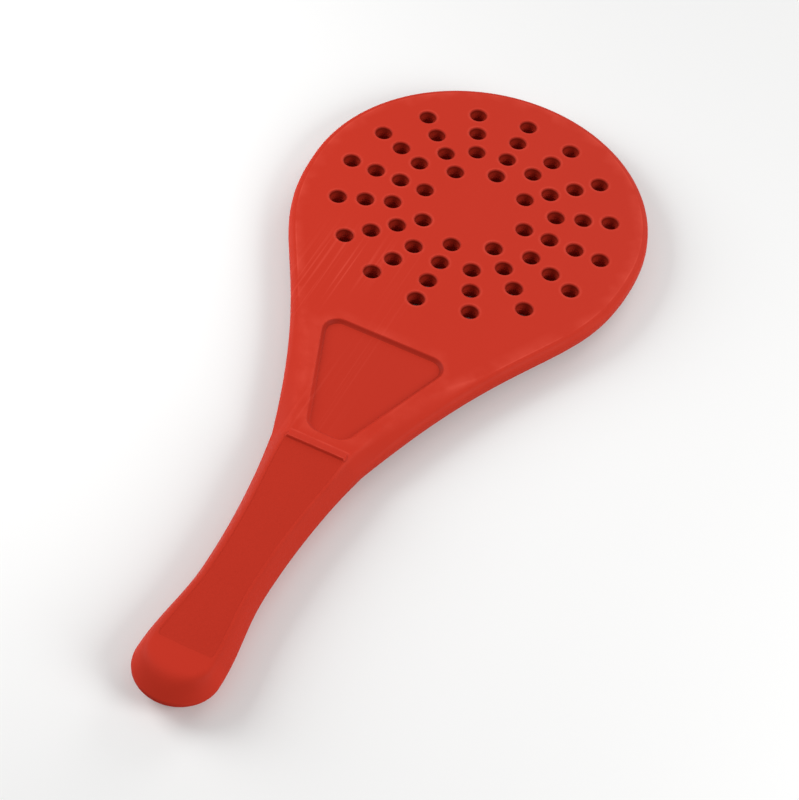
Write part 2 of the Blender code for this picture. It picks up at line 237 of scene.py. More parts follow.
class MeshDraft:
    """Vertices and faces of a piece while it is drawn, with how pale each vertex is painted, for rubbed
    wear and painted highlight, and how much painted shade it has.
    """

    # Pale marks are part rubbed wear, part painted highlight on edges that catch the light; dark marks are
    # painted shade.
    WEAR_AND_HIGHLIGHT = "wear_and_highlight"
    PAINTED_SHADE = "painted_shade"
    SHARP_ANGLE = math.radians(48)
    WHOLE_HULL = 0
    MERGE_WITHIN = 1e-9

    def __init__(self) -> None:
        """Starts with nothing drawn."""
        self.points: list[np.ndarray] = []
        self.wear_and_highlight: list[float] = []
        self.painted_shade: list[float] = []
        self.faces: list[tuple[int, ...]] = []

    def add(
        self, plan: np.ndarray, heights: Values, wear_and_highlight: Values = 0.0, painted_shade: Values = 0.0
    ) -> list[int]:
        """Adds vertices.

        Args:
            plan: Their places in the plane, one a row.
            heights: Their heights, or one height for all.
            wear_and_highlight: How pale they are painted, for rubbed wear and painted highlight, from 0 to
                1, or one value for all.
            painted_shade: How much painted shade darkens them, from 0 to 1, or one value for all.

        Returns:
            Numbers of the new vertices.
        """
        first = len(self.points)
        heights = np.broadcast_to(heights, len(plan))
        self.points.extend(np.column_stack((plan, heights)))
        self.wear_and_highlight.extend(np.broadcast_to(wear_and_highlight, len(plan)))
        self.painted_shade.extend(np.broadcast_to(painted_shade, len(plan)))
        return list(range(first, len(self.points)))

    def places(self, numbers: Sequence[int]) -> np.ndarray:
        """Where vertices lie in the plane, one a row."""
        return np.array([self.points[number][:2] for number in numbers])

    def loft(self, rings: Sequence[list[int]]) -> None:
        """Spans closed rings with quads, each ring to the next one.

        Args:
            rings: Rings of as many vertices each.
        """
        for low, high in zip(rings, rings[1:]):
            for i in range(len(low)):
                j = (i + 1) % len(low)
                self.faces.append((low[i], low[j], high[j], high[i]))

    def fill(
        self,
        outer: list[int],
        holes: Sequence[list[int]] = (),
        rings: Sequence[list[int]] = (),
        lines: Sequence[list[int]] = (),
        dots: Sequence[int] = (),
    ) -> None:
        """Triangulates the area within a ring.

        Args:
            outer: Ring that bounds the area.
            holes: Rings that are left open.
            rings: Closed rings that the triangles keep to.
            lines: Open lines that the triangles keep to.
            dots: Single vertices in the area.
        """
        used = outer + sum([*holes, *rings, *lines], []) + list(dots)
        local = {number: i for i, number in enumerate(used)}
        plan = self.places(used)
        edges = []
        for ring in [outer, *holes, *rings]:
            edges.extend((local[a], local[b]) for a, b in zip(ring, ring[1:] + ring[:1]))
        for line in lines:
            edges.extend((local[a], local[b]) for a, b in zip(line, line[1:]))
        sites = [Vector(place) for place in plan]
        found = delaunay_2d_cdt(sites, edges, [], self.WHOLE_HULL, self.MERGE_WITHIN, True)
        _, _, cells, sources, _, _ = found
        origins = [ids[0] if ids else None for ids in sources]
        if None in origins:
            raise ValueError("outlines cross each other")
        triangles = np.array([[origins[v] for v in face] for face in cells])
        centres = plan[triangles].mean(axis=1)
        keep = inside(centres, plan[: len(outer)])
        for hole in holes:
            corners = plan[[local[number] for number in hole]]
            middle = corners.mean(axis=0)
            near = np.linalg.norm(centres - middle, axis=1) < np.linalg.norm(corners - middle, axis=1).max()
            near[near] = inside(centres[near], corners)
            keep &= ~near
        self.faces.extend(tuple(used[v] for v in triangle) for triangle in triangles[keep])

    def finished(self, name: str, place: Vector, side: Side) -> bpy.types.Object:
        """Turns the draft into an object.

        Args:
            name: Name of the object.
            place: Where the draft's origin goes.
            side: BACK mirrors the draft in the parting plane.

        Returns:
            The object, linked to the scene, with smooth faces and sharp creases.
        """
        mesh = bpy.data.meshes.new(name)
        points = np.array(self.points) * (1, 1, side.value) + np.array(place)
        mesh.from_pydata(points.tolist(), [], self.faces)
        for label, values in ((self.WEAR_AND_HIGHLIGHT, self.wear_and_highlight), (self.PAINTED_SHADE, self.painted_shade)):
            attribute = mesh.attributes.new(label, "FLOAT", "POINT")
            attribute.data.foreach_set("value", np.array(values, np.float32))
        bm = bmesh.new()
        bm.from_mesh(mesh)
        bmesh.ops.recalc_face_normals(bm, faces=bm.faces)
        bm.to_mesh(mesh)
        bm.free()
        mesh.shade_smooth()
        mesh.set_sharp_from_angle(angle=self.SHARP_ANGLE)
        obj = placed(name, mesh)
        even = obj.modifiers.new("even shading", "WEIGHTED_NORMAL")
        even.keep_sharp = True
        return obj


@dataclass(frozen=True)
class Stations:
    """Places right round the parting line, with the rim and the flank that rise from each."""

    points: np.ndarray
    inward: np.ndarray
    rim_height: np.ndarray
    rim_radius: np.ndarray
    face_inset: np.ndarray
    crease: np.ndarray
    blend: np.ndarray
    flare: np.ndarray

    def fall_share(self, reach: np.ndarray) -> np.ndarray:
        """Share of the flank's fall at shares of the way from the face's edge to the rim."""
        curved = (1 - self.flare) * reach**2 + self.flare * ease(reach)
        return self.crease * reach + (1 - self.crease) * curved

    @property
    def rim_slope(self) -> np.ndarray:
        """Slope of the fall where the flank meets the rim."""
        return self.crease + (1 - self.crease) * 2 * (1 - self.flare)

    def moved_in(self, inset: Values) -> np.ndarray:
        """The parting line moved in by an inset, one for all or one for each place."""
        return self.points + self.inward * np.reshape(inset, (-1, 1))


@dataclass(frozen=True)
class FlankMark:
    """The flank at one distance from the centre of the head.

    The face ends at the inset, with a rounding of the blend to both sides. A flank with a crease of 1 falls
    straight to the rim, and one with 0 bulges. A flare lets it run out flat into the rim.
    """

    distance: float
    face_inset: float
    crease: float
    blend: float
    flare: float = 0.0


@dataclass(frozen=True)
class Outline:
    """Parting line of the paddle, and the rim and flank between it and each face.

    The rim is as high as the blade from the head down the throat, and sinks to a low bead along the handle.
    The flank falls from the face to the rim, nearly straight in the throat and rounder along the handle.
    """

    head_radius: float
    shoulder_pull: float = 0.062
    throat_pull: float = 0.111
    neck_distance: float = 0.1646
    neck_width: float = 0.044
    throat_turn: float = math.radians(16.7)
    handle_turn: float = math.radians(10.6)
    neck_to_waist: float = 0.0737
    waist_width: float = 0.0293
    waist_to_butt: float = 0.0477
    butt_width: float = 0.0377
    butt_length: float = 0.0175
    butt_pull_share: float = 0.4
    end_drop_share: float = 0.53
    end_turn_share: float = 0.56
    blade_thickness: float = 0.009
    throat_thickness: float = 0.0142
    handle_thickness: float = 0.017
    ramp_start: float = 0.0925
    rib_foot: float = 0.162
    rib_crest: float = 0.1672
    ramp_blend: float = 0.009
    rib_blend: float = 0.0007
    rim_draft: float = 0.0002
    blade_rim_radius: float = 0.0026
    rim_fall_start: float = 0.15
    rim_fall_end: float = 0.1826
    grip_rim_height: float = 0.0014
    grip_rim_radius: float = 0.0011
    flank: tuple[FlankMark, ...] = (
        FlankMark(0.0925, 0.0034, 1.0, 0.0003),
        FlankMark(0.12, 0.009, 0.7, 0.003),
        FlankMark(0.14, 0.009, 0.7, 0.0025),
        FlankMark(0.155, 0.0076, 0.65, 0.0008),
        FlankMark(0.1646, 0.0064, 0.6, 0.0005),
        FlankMark(0.1826, 0.0047, 0.35, 0.0007),
        FlankMark(0.2383, 0.0043, 0.2, 0.001),
        FlankMark(0.2806, 0.0052, 0.15, 0.0009),
        FlankMark(0.288, 0.0057, 0.1, 0.0022, 0.2),
        FlankMark(0.296, 0.0075, 0.0, 0.0034, 0.3),
        FlankMark(0.3035, 0.0102, 0.0, 0.0038, 0.35),
    )
    head_steps: int = 44
    throat_steps: int = 54
    grip_steps: int = 24
    butt_steps: int = 26
    smoothing: int = 7

    @property
    def waist_distance(self) -> float:
        """Distance of the narrowest place of the handle."""
        return self.neck_distance + self.neck_to_waist

    @property
    def butt_distance(self) -> float:
        """Distance of the widest place of the butt."""
        return self.waist_distance + self.waist_to_butt

    @property
    def end_distance(self) -> float:
        """Distance of the end of the butt."""
        return self.butt_distance + self.butt_length

    def half_line(self) -> np.ndarray:
        """Draws the right half of the parting line.

        Returns:
            Points from the tip of the head to the end of the butt, one a row.
        """
        angles = np.linspace(math.pi / 2, 0, self.head_steps + 1)
        head = self.head_radius * np.column_stack((np.cos(angles), np.sin(angles)))
        neck = np.array((self.neck_width / 2, -self.neck_distance))
        waist = np.array((self.waist_width / 2, -self.waist_distance))
        butt = np.array((self.butt_width / 2, -self.butt_distance))
        end = np.array((0, -self.end_distance))
        along = np.array((0, -1))
        into_neck = heading(self.throat_turn) * self.throat_pull
        third = self.neck_to_waist / 3
        pull = along * (self.butt_pull_share * self.waist_to_butt)
        round_down = along * self.end_drop_share * self.butt_length
        round_in = np.array((-self.end_turn_share * self.butt_width / 2, 0))
        line = np.vstack(
            (
                head,
                bezier(head[-1], along * self.shoulder_pull, into_neck, neck, self.throat_steps),
                bezier(neck, heading(self.handle_turn) * third, along * third, waist, self.grip_steps),
                bezier(waist, pull, pull, butt, self.grip_steps),
                bezier(butt, round_down, round_in, end, self.butt_steps),
            )
        )
        line[[0, -1], 0] = 0
        return line

    def face_height(self, y: np.ndarray) -> np.ndarray:
        """Height of the flat face, which ramps up along the throat and more steeply at the rib.

        Args:
            y: Places along the paddle.

        Returns:
            The heights there.
        """
        low = self.blade_thickness / 2
        middle = self.throat_thickness / 2
        high = self.handle_thickness / 2
        start = soft_ramp(-y - self.ramp_start, self.ramp_blend)
        foot = soft_ramp(-y - self.rib_foot, self.rib_blend)
        crest = soft_ramp(-y - self.rib_crest, self.rib_blend)
        throat_slope = (middle - low) / (self.rib_foot - self.ramp_start)
        rib_slope = (high - middle) / (self.rib_crest - self.rib_foot)
        return low + throat_slope * (start - foot) + rib_slope * (foot - crest)

    def stations(self) -> Stations:
        """Draws the whole parting line, with its rim and its flank.

        Returns:
            Stations from the tip down the right side and back up the left.
        """
        points = self.half_line()
        mirror = np.array((-1, 1))
        around = np.vstack((points[1] * mirror, points, points[-2] * mirror))
        tangents = around[2:] - around[:-2]
        tangents /= np.linalg.norm(tangents, axis=1)[:, None]
        inward = np.column_stack((tangents[:, 1], -tangents[:, 0]))
        left = slice(-2, 0, -1)
        points = np.vstack((points, points[left] * mirror))
        inward = np.vstack((inward, inward[left] * mirror))
        distance = -points[:, 1]
        rim_marks = (self.rim_fall_start, self.rim_fall_end)
        rim_heights = (self.blade_thickness / 2, self.grip_rim_height)
        rim_radii = (self.blade_rim_radius, self.grip_rim_radius)
        flank_marks = [mark.distance for mark in self.flank]
        flank = {
            name: self._along(distance, flank_marks, [getattr(mark, name) for mark in self.flank])
            for name in ("face_inset", "crease", "blend", "flare")
        }
        return Stations(
            points,
            inward,
            self._along(distance, rim_marks, rim_heights),
            self._along(distance, rim_marks, rim_radii),
            **flank,
        )

    def _along(self, distance: np.ndarray, marks: Sequence[float], values: Sequence[float]) -> np.ndarray:
        """A measure of the edge right round the paddle, without kinks.

        Args:
            distance: Distances of the stations from the centre of the head.
            marks: Distances at which the measure is given.
            values: The measure there.

        Returns:
            The measure at each station, evened out over its neighbours.
        """
        window = np.hanning(self.smoothing + 2)[1:-1]
        reach = self.smoothing // 2
        found = np.interp(distance, marks, values)
        wrapped = np.concatenate((found[-reach:], found, found[:reach]))
        return np.convolve(wrapped, window / window.sum(), "valid")

    def face_half_width(self, distance: np.ndarray) -> np.ndarray:
        """Half width of the flat face of the handle.

        Args:
            distance: Distances from the centre of the head.

        Returns:
            The half widths there.
        """
        line = self.stations()
        edge = line.moved_in(line.face_inset)[: len(self.half_line())]
        lower = edge[edge[:, 1] < -self.ramp_start]
        return np.interp(distance, -lower[:, 1], lower[:, 0])


@dataclass(frozen=True)
class Perforation:
    """Rays of drafted holes, of which every second one stops before the innermost ring."""

    # Painted shade on the hole walls below the rim, and a little deep down.
    dust: float
    ray_count: int = 16
    ring_count: int = 4
    first_ring_radius: float = 0.026
    ring_pitch: float = 0.013
    hole_radius: float = 0.0039
    draft: float = 0.0002
    rim_radius: float = 0.0009
    halo: float = 0.001
    # Pale rim and ring round each hole: part wear, part painted highlight.
    rim_wear_and_highlight: float = 0.45
    land_wear_and_highlight: float = 0.4
    deep_shade_paint: float = 0.1
    sides: int = 32
    rim_steps: int = 6

    def centres(self) -> list[np.ndarray]:
        """Works out where the holes are.

        Returns:
            Their centres, ray by ray.
        """
        found = []
        for ray in range(self.ray_count):
            angle = math.pi / 2 + ray * math.tau / self.ray_count
            for ring in range(ray % 2, self.ring_count):
                reach = self.first_ring_radius + ring * self.ring_pitch
                found.append(reach * np.array((math.cos(angle), math.sin(angle))))
        return found

    def circle(self, centre: np.ndarray, radius: float) -> np.ndarray:
        """Points of a circle round the centre of a hole, one a row."""
        angles = np.arange(self.sides) * math.tau / self.sides
        return centre + radius * np.column_stack((np.cos(angles), np.sin(angles)))


@dataclass(frozen=True)
class Recess:
    """Shallow trapezoid in the throat, with soft walls and a bare floor, both darkened with painted shade.
    """

    distance: float = 0.0935
    length: float = 0.0635
    head_width: float = 0.0634
    neck_width: float = 0.0182
    head_corner: float = 0.0068
    neck_corner: float = 0.0078
    corner_steps: int = 10
    depth: float = 0.0016
    wall: float = 0.002
    wall_steps: int = 8
    spacing: float = 0.0016
    # Painted shade on the floor and the walls, most on the wall at the head's end, which faces away from
    # the light.
    dust: float = 0.1
    wall_shade_paint: float = 0.5
    wall_shade_paint_at_neck: float = 0.12
    shade_paint_from: float = 0.4
    # Pale lip round the recess: part wear, part painted highlight.
    lip_wear_and_highlight: float = 0.4
    lip_share: float = 0.25

    def outline(self, grow: float) -> np.ndarray:
        """Outline at half the depth, moved out by a distance.

        Args:
            grow: How far it is moved.

        Returns:
            Points, one a row.
        """
        slope = (self.head_width - self.neck_width) / 2 / self.length
        sideways = grow * math.hypot(1, slope)
        head_half = self.head_width / 2 + slope * grow + sideways
        neck_half = self.neck_width / 2 - slope * grow + sideways
        head_y = grow - self.distance
        neck_y = -grow - self.distance - self.length
        corners = np.array(
            ((head_half, head_y), (-head_half, head_y), (-neck_half, neck_y), (neck_half, neck_y))
        )
        radii = np.array((self.head_corner, self.head_corner, self.neck_corner, self.neck_corner)) + grow
        return evenly(rounded(corners, radii, self.corner_steps), self.spacing)

    def steps(self) -> np.ndarray:
        """Shares of the way down the wall, with a flat step before and after it."""
        margin = 1 / self.wall_steps
        return np.concatenate(([-margin], np.linspace(0, 1, self.wall_steps + 1), [1 + margin]))

    def painted_shade_on(self, plan: np.ndarray, share: float) -> np.ndarray:
        """How much painted shade darkens a step of the wall, most of it at the head's end.

        Args:
            plan: Points of the step.
            share: Share of the way down the wall.

        Returns:
            The painted shade at each point, from 0 to 1.
        """
        if share > 1:
            return np.full(len(plan), self.dust)
        headward = np.clip(1 + (plan[:, 1] + self.distance) / self.length, 0, 1) ** 2
        most = self.wall_shade_paint_at_neck + (self.wall_shade_paint - self.wall_shade_paint_at_neck) * headward
        return most * ease(share / self.shade_paint_from)


@dataclass(frozen=True)
class ThumbRib:
    """Wedge across the neck that rises towards the handle and drops to the grip."""

    foot: float
    crest: float
    rise: float = 0.0012
    half_length: float = 0.0141
    edge: float = 0.0007
    body_columns: int = 8
    ramp_rows: int = 7
    edge_lines: int = 5
    # Pale foot and crest: part wear, part painted highlight. Painted shade darkens the drop to the grip.
    edge_wear_and_highlight: float = 0.8
    dust: float = 0.35

    def columns(self) -> np.ndarray:
        """Works out the columns across the rib.

        Returns:
            Places from left to right, close together where the rib's ends drop.
        """
        body = np.linspace(0, self.half_length - self.edge, self.body_columns)
        end = np.linspace(self.half_length - self.edge, self.half_length, self.edge_lines)[1:]
        right = np.concatenate((body[1:], end))
        return np.concatenate((-right[::-1], [0], right))

    def rows(self) -> np.ndarray:
        """Works out the rows along the rib.

        Returns:
            Distances, close together where the crest drops.
        """
        ramp = np.linspace(self.foot, self.crest, self.ramp_rows)
        drop = np.linspace(self.crest, self.crest + self.edge, self.edge_lines)[1:]
        return np.concatenate(([self.foot - self.edge], ramp, drop))

    def height(self, x: np.ndarray, distance: float) -> np.ndarray:
        """Height of the rib above the face.

        Args:
            x: Places across the rib.
            distance: Distance from the centre of the head.

        Returns:
            The heights there.
        """
        ramp = np.clip((distance - self.foot) / (self.crest - self.foot), 0, 1)
        drop = 1 - ease((distance - self.crest) / self.edge)
        ends = 1 - ease((np.abs(x) - self.half_length + self.edge) / self.edge)
        return self.rise * ramp * drop * ends

    def worn(self, distance: float) -> float:
        """How pale the rib is painted, for wear and highlight, which it is along its foot and its crest
        only.
        """
        on_edge = math.isclose(distance, self.foot) or math.isclose(distance, self.crest)
        return self.edge_wear_and_highlight if on_edge else 0.0


@dataclass(frozen=True)
class GripPlan:
    """Outline of the grip panel, from the thumb rib to the line across the butt, with a land beside it."""

    outline: Outline
    start: float = 0.1681
    length: float = 0.1125
    land: float = 0.0012
    corner: float = 0.0015
    corner_steps: int = 6
    steps: int = 24
    spacing: float = 0.0015

    @property
    def end(self) -> float:
        """Distance of the line across the butt."""
        return self.start + self.length

    def line(self, grow: float) -> np.ndarray:
        """The panel's outline, moved out by a distance.

        Args:
            grow: How far it is moved.

        Returns:
            Points, one a row.
        """
        distance = np.linspace(self.start, self.end, self.steps)
        half_width = self.outline.face_half_width(distance) - self.land
        right = np.column_stack((half_width + grow, -distance))
        right[0, 1] += grow
        right[-1, 1] -= grow
        corners = np.vstack((right, right[::-1] * (-1, 1)))
        radii = np.zeros(len(corners))
        radii[[0, len(right) - 1, len(right), -1]] = self.corner + grow
        return evenly(rounded(corners, radii, self.corner_steps), self.spacing)


@dataclass(frozen=True)
class NoiseLook:
    """Scale in marks a metre and amount of a noise that colours a finish."""

    scale: float
    amount: float

    @property
    def inputs(self) -> dict[str, float]:
        """Values for the inputs of a shader group."""
        return {"Scale": self.scale, "Amount": self.amount}


@dataclass(frozen=True)
class PlasticFinish:
    """Moulded plastic: its colours, its gloss and how far they vary."""

    name: str
    colour: Colour
    deep_colour: Colour
    pale_colour: Colour
    roughness: float
    roughness_spread: float
    specular: float
    mottle: NoiseLook
    grain: NoiseLook
    # Strength of the pale edges (part wear, part painted highlight), strength of the painted shade, and the
    # dark colour of that painted shade.
    wear_and_highlight: float
    painted_shade: float
    painted_shade_colour: Colour
    bump_height: float


@dataclass(frozen=True)
class HandZone:
    """Stretch of the handle that has the grip's grain and colour, by its ends along the paddle."""

    low: float
    high: float
    colour: Colour
    fade: float = 0.003
    share: float = 0.9
    pebble_scale: float = 830
    pebble_height: float = 0.00006

    @property
    def inputs(self) -> dict[str, float]:
        """Values for the inputs of its shader group."""
        return {"Low": self.low, "High": self.high, "Fade": self.fade, "Pebbles": self.pebble_scale}


@dataclass(frozen=True)
class ScuffPatch:
    """Patch of the face where handling left fine lines: its middle, its reach and the lines."""

    y: float
    x: float = -0.030
    reach_x: float = 0.035
    reach_y: float = 0.075
    lines: NoiseLook = NoiseLook(640, 0.55)

    @property
    def inputs(self) -> dict[str, float]:
        """Values for the inputs of its shader group."""
        patch = {"X": self.x, "Y": self.y, "Reach X": self.reach_x, "Reach Y": self.reach_y}
        return patch | self.lines.inputs


SHELL_FINISH = PlasticFinish(
    name="satin_red_shell",
    colour=(0.580, 0.036, 0.018, 1),
    deep_colour=(0.535, 0.031, 0.014, 1),
    pale_colour=(0.800, 0.100, 0.065, 1),
    roughness=0.54,
    roughness_spread=0.10,
    specular=0.07,
    mottle=NoiseLook(34, 0.55),
    grain=NoiseLook(1900, 0.35),
    wear_and_highlight=0.60,
    painted_shade=0.85,
    painted_shade_colour=(0.110, 0.004, 0.001, 1),
    bump_height=0.00002,
)

GRIP_FINISH = PlasticFinish(
    name="grained_red_grip",
    colour=(0.535, 0.033, 0.016, 1),
    deep_colour=(0.475, 0.027, 0.012, 1),
    pale_colour=(0.640, 0.058, 0.034, 1),
    roughness=0.60,
    roughness_spread=0.12,
    specular=0.07,
    mottle=NoiseLook(60, 0.6),
    grain=NoiseLook(1500, 0.8),
    wear_and_highlight=0.22,
    painted_shade=0.5,
    painted_shade_colour=(0.110, 0.004, 0.001, 1),
    bump_height=0.00005,
)


class Bench:
    """Builds nodes in one shader tree."""

    COLOUR_BELOW = 6
    COLOUR_ABOVE = 7
    COLOUR_RESULT = 2

    def __init__(self, tree: Tree) -> None:
        """Takes the tree that the nodes go in."""
        self.tree = tree

    def feed(self, target: Socket, value: Feed) -> None:
        """Links a socket to an input, or sets a constant on it.

        Args:
            target: The input.
            value: The socket or the constant.
        """
        if isinstance(value, Socket):
            self.tree.links.new(value, target)
        else:
            target.default_value = value

    def node(self, kind: str, values: dict[str | int, Feed], **settings: object) -> bpy.types.Node:
        """Adds a node.

        Args:
            kind: Its type.
            values: Sockets or constants for its inputs, by their names or numbers.
            settings: Values of its own settings.

        Returns:
            The node.
        """
        node = self.tree.nodes.new(kind)
        for name, setting in settings.items():
            setattr(node, name, setting)
        for key, value in values.items():
            self.feed(node.inputs[key], value)
        return node

    def math(self, operation: str, first: Feed, second: Feed = 0.0) -> Socket:
        """Works out a sum of two sockets or numbers."""
        return self.node("ShaderNodeMath", {0: first, 1: second}, operation=operation).outputs[0]

    def product(self, first: Socket, *factors: Feed) -> Socket:
        """Multiplies a socket by sockets or numbers.

        Args:
            first: The socket.
            factors: What it is multiplied by, one after the other.

        Returns:
            The product.
        """
        for factor in factors:
            first = self.math("MULTIPLY", first, factor)
        return first

    def mix(self, mask: Socket, below: Feed, above: Feed) -> Socket:
        """Lays a colour over another by a mask, each of them a socket or a constant."""
        values = {"Factor": mask, self.COLOUR_BELOW: below, self.COLOUR_ABOVE: above}
        return self.node("ShaderNodeMix", values, data_type="RGBA").outputs[self.COLOUR_RESULT]

    def step(self, value: Socket, start: float, end: float) -> Socket:
        """Adds a smooth step.

        Args:
            value: What is measured.
            start: Value at which the step is 0.
            end: Value at which it is 1, which may be the lower one.

        Returns:
            The step.
        """
        low, high = sorted((start, end))
        limits = {"From Min": low, "From Max": high}
        heights = {"To Min": float(start > end), "To Max": float(start < end)}
        values = {"Value": value, **limits, **heights}
        return self.node("ShaderNodeMapRange", values, interpolation_type="SMOOTHSTEP").outputs["Result"]

    def place(self) -> Socket:
        """Adds the piece's own coordinates."""
        return self.node("ShaderNodeTexCoord", {}).outputs["Object"]

    def axes(self) -> bpy.types.bpy_prop_collection:
        """Adds the piece's own coordinates as outputs X, Y and Z."""
        return self.node("ShaderNodeSeparateXYZ", {"Vector": self.place()}).outputs

    def noise(self, scale: Feed, detail: float, stretch: tuple[float, float, float] = (1, 1, 1)) -> Socket:
        """Adds a noise over the piece's own coordinates.

        Args:
            scale: A socket or a number, in marks a metre.
            detail: Octaves of the noise.
            stretch: How much closer the noise lies along each axis.

        Returns:
            The noise, from 0 to 1.
        """
        mapping = self.node("ShaderNodeMapping", {"Vector": self.place(), "Scale": stretch})
        values = {"Vector": mapping.outputs["Vector"], "Scale": scale, "Detail": detail}
        return self.node("ShaderNodeTexNoise", values).outputs["Fac"]

    def attribute(self, name: str) -> Socket:
        """Adds the value that the piece's vertices carry under a name."""
        return self.node("ShaderNodeAttribute", {}, attribute_name=name).outputs["Fac"]

    def effect(self, group: Tree, values: dict[str, Feed]) -> bpy.types.bpy_prop_collection:
        """Places a shared group with values for its inputs, and gives back its outputs."""
        return self.node("ShaderNodeGroup", values, node_tree=group).outputs


class EffectGroup(Bench):
    """Shader group that the finishes share, with numbers that go in and numbers that come out."""

    def __init__(self, name: str, inputs: tuple[str, ...], outputs: tuple[str, ...]) -> None:
        """Starts the group.

        Args:
            name: Name of the group.
            inputs: Names of its inputs, all of which a material sets.
            outputs: Names of its outputs.
        """
        super().__init__(bpy.data.node_groups.new(name, "ShaderNodeTree"))
        for direction, labels in (("INPUT", inputs), ("OUTPUT", outputs)):
            for label in labels:
                self.tree.interface.new_socket(label, in_out=direction, socket_type="NodeSocketFloat")
        self.given = self.node("NodeGroupInput", {}).outputs
        self.results = self.node("NodeGroupOutput", {}).inputs

    def finished(self, **results: Socket) -> Tree:
        """Ends the group.

        Args:
            results: What comes out, under the names of the outputs.

        Returns:
            The group.
        """
        for label, value in results.items():
            self.feed(self.results[label], value)
        return self.tree


class PlasticMaker:
    """Makes the materials of the moulded pieces from their finishes."""

    def __init__(self) -> None:
        """Builds the groups that the materials share."""
        self.mottle = self._mottle()
        self.grain = self._grain()
        self.streaks = self._streaks()
        self.hand_zone = self._hand_zone()
        self.wear_and_highlight = self._wear_and_highlight()

    @staticmethod
    def _mottle() -> Tree:
        """Builds the cloudy tone of pigment in a moulding.

        Returns:
            The group.
        """
        group = EffectGroup("pigment mottle", ("Scale", "Amount"), ("Mask",))
        clouds = group.noise(group.given["Scale"], detail=4, stretch=(1, 0.6, 1))
        return group.finished(Mask=group.product(clouds, group.given["Amount"]))

    @staticmethod
    def _grain() -> Tree:
        """Builds the fine texture of the mould's surface.

        Returns:
            The group.
        """
        group = EffectGroup("mould grain", ("Scale", "Amount"), ("Height", "Mask"))
        fine = group.noise(group.given["Scale"], detail=3)
        return group.finished(Height=fine, Mask=group.product(fine, group.given["Amount"]))

    @staticmethod
    def _streaks() -> Tree:
        """Builds fine pale lines along the paddle, in one patch of it.

        Returns:
            The group.
        """
        inputs = ("Scale", "Amount", "X", "Y", "Reach X", "Reach Y")
        group = EffectGroup("scuff streaks", inputs, ("Mask",))
        given = group.given
        lines = group.noise(given["Scale"], detail=2, stretch=(1, 0.012, 0.012))
        thinned = group.step(lines, start=0.53, end=0.66)
        areas = group.noise(scale=22, detail=1, stretch=(1, 0.35, 1))
        scattered = group.step(areas, start=0.35, end=0.60)
        mask = group.product(thinned, scattered, given["Amount"])
        axes = group.axes()
        for axis in "XY":
            away = group.math("ABSOLUTE", group.math("SUBTRACT", axes[axis], given[axis]))
            share = group.math("DIVIDE", away, given[f"Reach {axis}"])
            mask = group.product(mask, group.step(share, start=1, end=0.4))
        return group.finished(Mask=mask)

    @staticmethod
    def _hand_zone() -> Tree:
        """Builds a stretch between two places along the paddle, with soft ends and a pebbled grain.

        Returns:
            The group.
        """
        group = EffectGroup("hand zone", ("Low", "High", "Fade", "Pebbles"), ("Mask", "Height"))
        given = group.given
        along = group.axes()["Y"]
        above = group.math("SUBTRACT", along, given["Low"])
        below = group.math("SUBTRACT", given["High"], along)
        inwards = group.math("DIVIDE", group.math("MINIMUM", above, below), given["Fade"])
        mask = group.step(inwards, start=-1, end=1)
        values = {"Vector": group.place(), "Scale": given["Pebbles"]}
        cells = group.node("ShaderNodeTexVoronoi", values, feature="DISTANCE_TO_EDGE")
        pebbles = group.step(cells.outputs["Distance"], start=0, end=0.35)
        return group.finished(Mask=mask, Height=group.product(pebbles, mask))

    @staticmethod
    def _wear_and_highlight() -> Tree:
        """Builds pale edges, part rubbed wear and part painted highlight, broken up where hands and sand
        haven't reached.

        Returns:
            The group.
        """
        group = EffectGroup("wear and painted highlight", ("Edge", "Amount"), ("Mask",))
        broken = group.step(group.noise(scale=90, detail=5), start=0.25, end=0.75)
        return group.finished(Mask=group.product(group.given["Edge"], broken, group.given["Amount"]))

    def make(
        self, finish: PlasticFinish, scuffs: ScuffPatch | None = None, hand: HandZone | None = None
    ) -> bpy.types.Material:
        """Makes a material.

        Args:
            finish: Its colours, gloss and texture.
            scuffs: Where handling left fine lines, if it did.
            hand: Where it has the grip's grain and colour, if it has.

        Returns:
            The material.
        """
        material = bpy.data.materials.new(finish.name)
        material.use_nodes = True
        bench = Bench(material.node_tree)
        shader = bench.tree.nodes["Principled BSDF"].inputs
        mottle = bench.effect(self.mottle, finish.mottle.inputs)
        grain = bench.effect(self.grain, finish.grain.inputs)
        colour = bench.mix(mottle["Mask"], finish.colour, finish.deep_colour)
        height = grain["Height"]
        if hand:
            zone = bench.effect(self.hand_zone, hand.inputs)
            colour = bench.mix(bench.product(zone["Mask"], hand.share), colour, hand.colour)
            pebbles = bench.product(zone["Height"], hand.pebble_height / finish.bump_height)
            height = bench.math("ADD", pebbles, height)
        colour = bench.mix(grain["Mask"], colour, finish.deep_colour)
        if scuffs:
            streaks = bench.effect(self.streaks, scuffs.inputs)
            colour = bench.mix(streaks["Mask"], colour, finish.pale_colour)
        # Pale edges: part wear, part painted highlight.
        wear_and_highlight_inputs = {"Edge": bench.attribute(MeshDraft.WEAR_AND_HIGHLIGHT), "Amount": finish.wear_and_highlight}
        colour = bench.mix(bench.effect(self.wear_and_highlight, wear_and_highlight_inputs)["Mask"], colour, finish.pale_colour)
